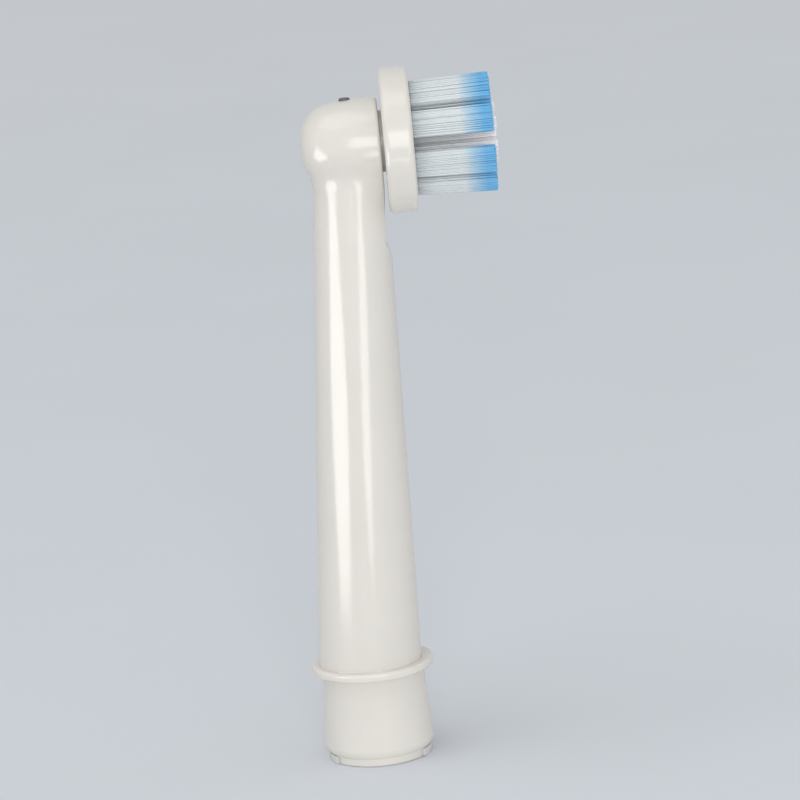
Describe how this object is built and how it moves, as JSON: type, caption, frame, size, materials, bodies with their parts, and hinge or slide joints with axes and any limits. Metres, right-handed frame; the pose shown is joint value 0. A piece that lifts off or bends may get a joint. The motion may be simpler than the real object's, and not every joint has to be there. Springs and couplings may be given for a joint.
{
  "type": "electric toothbrush head",
  "caption": "White push-on brush head with a tapered hollow neck, drip collar and a round tufted plate that oscillates about its own axis, driven by a cranked rod from the handle.",
  "frame": {"origin": "centre of the flat rim at the foot, on the drive axis", "axes": "+Z along the drive axis from the foot to the tip, +X the way the bristles face"},
  "size_m": [0.0229, 0.0142, 0.0684],
  "materials": {
    "white_plastic": "glossy moulded white, slightly translucent",
    "clear_white_plastic": "milky translucent moulded plastic",
    "coupler_plastic": "satin moulded plastic",
    "spring_steel": "drawn wire",
    "pin_steel": "cut pin, dull",
    "anchor_metal": "nickel silver strip",
    "blue_tipped_bristle": "nylon filaments, white with blue tips",
    "white_bristle": "nylon filaments, white"
  },
  "bodies": {
    "neck": {"neck_housing": "white_plastic", "base_insert": "clear_white_plastic", "retaining_pin": "pin_steel"},
    "drive": {"drive_coupler": "coupler_plastic", "drive_rod": "spring_steel"},
    "brush": {"brush_plate": "white_plastic", "tuft_anchors": "anchor_metal", "outer_tuft_1": "blue_tipped_bristle", "outer_tuft_2": "blue_tipped_bristle", "outer_tuft_3": "blue_tipped_bristle", "outer_tuft_4": "blue_tipped_bristle", "outer_tuft_5": "blue_tipped_bristle", "outer_tuft_6": "blue_tipped_bristle", "outer_tuft_7": "blue_tipped_bristle", "outer_tuft_8": "blue_tipped_bristle", "inner_tuft_1": "white_bristle", "inner_tuft_2": "white_bristle", "inner_tuft_3": "white_bristle", "inner_tuft_4": "white_bristle", "inner_tuft_5": "white_bristle", "inner_tuft_6": "white_bristle", "centre_tuft": "white_bristle"}
  },
  "joints": [
    {"name": "brush_turn", "type": "hinge", "parent": "neck", "child": "brush", "pos_m": [0, 0, 0.06131], "axis": [1, 0, 0], "range_deg": [-22.5, 22.5]},
    {"name": "drive_turn", "type": "hinge", "parent": "neck", "child": "drive", "pos_m": [0, 0, 0], "axis": [0, 0, 1], "range_deg": [-28, 28]}
  ],
  "couplings": [
    {"joint": "drive_turn", "follows": "brush_turn", "ratio": 1.2444}
  ]
}
